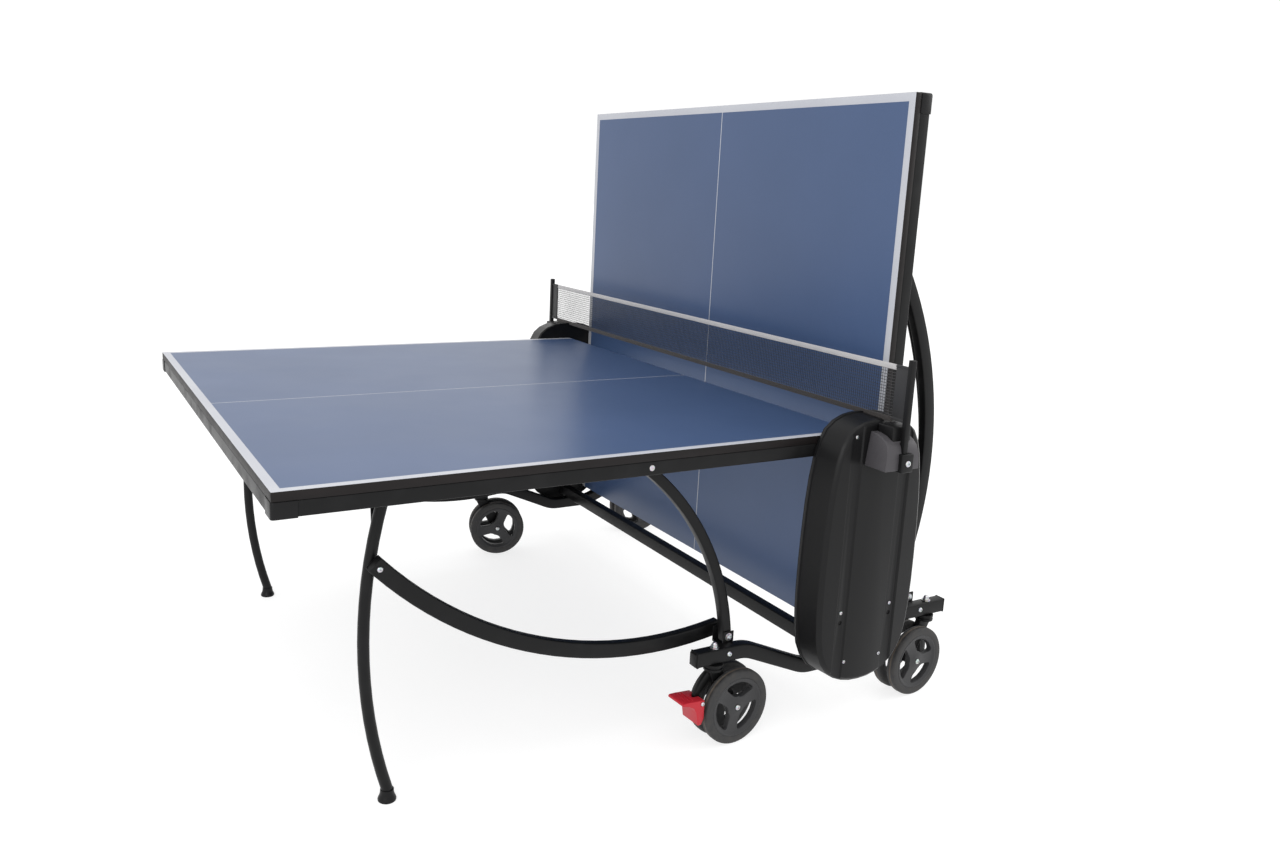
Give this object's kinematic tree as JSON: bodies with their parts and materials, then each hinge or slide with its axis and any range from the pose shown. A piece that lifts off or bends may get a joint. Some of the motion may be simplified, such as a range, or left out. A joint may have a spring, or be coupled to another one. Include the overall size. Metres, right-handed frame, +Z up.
{
  "type": "ping pong table",
  "caption": "Roll-away table tennis table, one half lowered on its legs and one folded upright, with net, side covers, linkage and twin-wheel casters.",
  "frame": {"origin": "on the floor, under the middle of the bounding box", "axes": "+Z up, X along the playing length with the lowered half at -X and the upright half at +X, Y across the table"},
  "size_m": [1.8363, 1.87, 1.5585],
  "materials": {
    "board_blue": "satin blue paint",
    "steel_black": "black powder coat",
    "plastic_black": "fine-grained",
    "plastic_grey": "fine-grained",
    "zinc_steel": "bright zinc",
    "wheel_grey": "moulded hub and tread",
    "net_black": "knotless mesh with a white tape",
    "brake_red": "moulded red"
  },
  "bodies": {
    "undercarriage": {"cross_bar": "steel_black", "guide_plate_far": "steel_black", "guide_plate_near": "steel_black", "net": "net_black", "net_bracket_far": "plastic_grey", "net_bracket_near": "plastic_grey", "net_post_far": "plastic_black", "net_post_near": "plastic_black", "side_cover_far": "plastic_black", "side_cover_near": "plastic_black", "wheel_beam_far": "steel_black", "wheel_beam_near": "steel_black"},
    "slider_a": {"slide_shaft_a": "zinc_steel"},
    "panel_a": {"board_a": "board_blue", "corner_a_far": "plastic_black", "corner_a_near": "plastic_black", "end_rail_a": "steel_black", "net_edge_rail_a": "steel_black", "side_rail_a_far": "steel_black", "side_rail_a_near": "steel_black"},
    "legs_a": {"foot_a_far": "plastic_black", "foot_a_near": "plastic_black", "leg_a_far": "steel_black", "leg_a_near": "steel_black", "leg_cross_tube_a": "steel_black"},
    "arms_a": {"arm_a_far": "steel_black", "arm_a_near": "steel_black"},
    "links_a": {"link_a_far": "steel_black", "link_a_near": "steel_black"},
    "slider_b": {"slide_shaft_b": "zinc_steel"},
    "panel_b": {"board_b": "board_blue", "corner_b_far": "plastic_black", "corner_b_near": "plastic_black", "end_rail_b": "steel_black", "net_edge_rail_b": "steel_black", "side_rail_b_far": "steel_black", "side_rail_b_near": "steel_black"},
    "legs_b": {"foot_b_far": "plastic_black", "foot_b_near": "plastic_black", "leg_b_far": "steel_black", "leg_b_near": "steel_black", "leg_cross_tube_b": "steel_black"},
    "arms_b": {"arm_b_far": "steel_black", "arm_b_near": "steel_black"},
    "links_b": {"link_b_far": "steel_black", "link_b_near": "steel_black"},
    "caster_a_near": {"caster_fork_a_near": "steel_black"},
    "wheel_a_near_outer": {"wheel_a_near_outer": "wheel_grey"},
    "wheel_a_near_inner": {"wheel_a_near_inner": "wheel_grey"},
    "brake_pedal_a_near": {"brake_pedal_a_near": "brake_red"},
    "caster_b_near": {"caster_fork_b_near": "steel_black"},
    "wheel_b_near_outer": {"wheel_b_near_outer": "wheel_grey"},
    "wheel_b_near_inner": {"wheel_b_near_inner": "wheel_grey"},
    "caster_a_far": {"caster_fork_a_far": "steel_black"},
    "wheel_a_far_outer": {"wheel_a_far_outer": "wheel_grey"},
    "wheel_a_far_inner": {"wheel_a_far_inner": "wheel_grey"},
    "caster_b_far": {"caster_fork_b_far": "steel_black"},
    "wheel_b_far_outer": {"wheel_b_far_outer": "wheel_grey"},
    "wheel_b_far_inner": {"wheel_b_far_inner": "wheel_grey"},
    "brake_pedal_b_far": {"brake_pedal_b_far": "brake_red"}
  },
  "joints": [
    {"name": "slider_a_slide", "type": "slide", "parent": "undercarriage", "child": "slider_a", "axis": [0, 0, -1], "range_m": [0, 0.4265]},
    {"name": "panel_a_fold", "type": "hinge", "parent": "slider_a", "child": "panel_a", "pos_m": [0.3405, 0, 0.726], "axis": [0, 1, 0], "range_deg": [0, 90]},
    {"name": "legs_a_hinge", "type": "hinge", "parent": "panel_a", "child": "legs_a", "pos_m": [-0.6565, 0, 0.726], "axis": [0, 1, 0], "range_deg": [-66.8, 0]},
    {"name": "arms_a_hinge", "type": "hinge", "parent": "panel_a", "child": "arms_a", "pos_m": [-0.13, 0, 0.726], "axis": [0, 1, 0], "range_deg": [-38.72, 0]},
    {"name": "links_a_hinge", "type": "hinge", "parent": "undercarriage", "child": "links_a", "pos_m": [0.1515, 0, 0.25925], "axis": [0, 1, 0], "range_deg": [0, 77.08]},
    {"name": "slider_b_slide", "type": "slide", "parent": "undercarriage", "child": "slider_b", "axis": [0, 0, 1], "range_m": [0, 0.4265]},
    {"name": "panel_b_fold", "type": "hinge", "parent": "slider_b", "child": "panel_b", "pos_m": [0.5665, 0, 0.3], "axis": [0, 1, 0], "range_deg": [0, 90]},
    {"name": "legs_b_hinge", "type": "hinge", "parent": "panel_b", "child": "legs_b", "pos_m": [0.5665, 0, 1.297], "axis": [0, 1, 0], "range_deg": [-66.8, 0]},
    {"name": "arms_b_hinge", "type": "hinge", "parent": "panel_b", "child": "arms_b", "pos_m": [0.5665, 0, 0.7705], "axis": [0, 1, 0], "range_deg": [-38.72, 0]},
    {"name": "links_b_hinge", "type": "hinge", "parent": "undercarriage", "child": "links_b", "pos_m": [0.7555, 0, 0.25925], "axis": [0, 1, 0], "range_deg": [0, 77.08]},
    {"name": "caster_a_near_swivel", "type": "hinge", "parent": "undercarriage", "child": "caster_a_near", "pos_m": [0.101, -0.7195, 0.2105], "axis": [0, 0, 1], "continuous": true},
    {"name": "wheel_a_near_outer_spin", "type": "hinge", "parent": "caster_a_near", "child": "wheel_a_near_outer", "pos_m": [0.15761, -0.7406, 0.095], "axis": [-0.0698, 0.9976, 0], "continuous": true},
    {"name": "wheel_a_near_inner_spin", "type": "hinge", "parent": "caster_a_near", "child": "wheel_a_near_inner", "pos_m": [0.15412, -0.69072, 0.095], "axis": [-0.0698, 0.9976, 0], "continuous": true},
    {"name": "brake_pedal_a_near_press", "type": "hinge", "parent": "caster_a_near", "child": "brake_pedal_a_near", "pos_m": [0.05112, -0.72299, 0.128], "axis": [-0.0698, 0.9976, 0], "range_deg": [-4.5, 0]},
    {"name": "caster_b_near_swivel", "type": "hinge", "parent": "undercarriage", "child": "caster_b_near", "pos_m": [0.806, -0.7195, 0.2105], "axis": [0, 0, 1], "continuous": true},
    {"name": "wheel_b_near_outer_spin", "type": "hinge", "parent": "caster_b_near", "child": "wheel_b_near_outer", "pos_m": [0.75288, -0.74828, 0.095], "axis": [0.0698, -0.9976, 0], "continuous": true},
    {"name": "wheel_b_near_inner_spin", "type": "hinge", "parent": "caster_b_near", "child": "wheel_b_near_inner", "pos_m": [0.74939, -0.6984, 0.095], "axis": [0.0698, -0.9976, 0], "continuous": true},
    {"name": "caster_a_far_swivel", "type": "hinge", "parent": "undercarriage", "child": "caster_a_far", "pos_m": [0.101, 0.7195, 0.2105], "axis": [0, 0, 1], "continuous": true},
    {"name": "wheel_a_far_outer_spin", "type": "hinge", "parent": "caster_a_far", "child": "wheel_a_far_outer", "pos_m": [0.16076, 0.72837, 0.095], "axis": [0.2756, 0.9613, 0], "continuous": true},
    {"name": "wheel_a_far_inner_spin", "type": "hinge", "parent": "caster_a_far", "child": "wheel_a_far_inner", "pos_m": [0.14698, 0.68031, 0.095], "axis": [0.2756, 0.9613, 0], "continuous": true},
    {"name": "caster_b_far_swivel", "type": "hinge", "parent": "undercarriage", "child": "caster_b_far", "pos_m": [0.806, 0.7195, 0.2105], "axis": [0, 0, 1], "continuous": true},
    {"name": "wheel_b_far_outer_spin", "type": "hinge", "parent": "caster_b_far", "child": "wheel_b_far_outer", "pos_m": [0.75501, 0.75191, 0.095], "axis": [-0.1392, -0.9903, 0], "continuous": true},
    {"name": "wheel_b_far_inner_spin", "type": "hinge", "parent": "caster_b_far", "child": "wheel_b_far_inner", "pos_m": [0.74806, 0.7024, 0.095], "axis": [-0.1392, -0.9903, 0], "continuous": true},
    {"name": "brake_pedal_b_far_press", "type": "hinge", "parent": "caster_b_far", "child": "brake_pedal_b_far", "pos_m": [0.85551, 0.71254, 0.128], "axis": [-0.1392, -0.9903, 0], "range_deg": [-4.5, 0]}
  ],
  "couplings": [
    {"joint": "slider_a_slide", "follows": "panel_a_fold", "m_per_rad": 0.2712},
    {"joint": "legs_a_hinge", "follows": "panel_a_fold", "ratio": -0.74111},
    {"joint": "arms_a_hinge", "follows": "panel_a_fold", "ratio": -0.42907},
    {"joint": "links_a_hinge", "follows": "panel_a_fold", "ratio": 0.85535},
    {"joint": "slider_b_slide", "follows": "panel_b_fold", "m_per_rad": 0.2712},
    {"joint": "legs_b_hinge", "follows": "panel_b_fold", "ratio": -0.74111},
    {"joint": "arms_b_hinge", "follows": "panel_b_fold", "ratio": -0.42907},
    {"joint": "links_b_hinge", "follows": "panel_b_fold", "ratio": 0.85535}
  ]
}
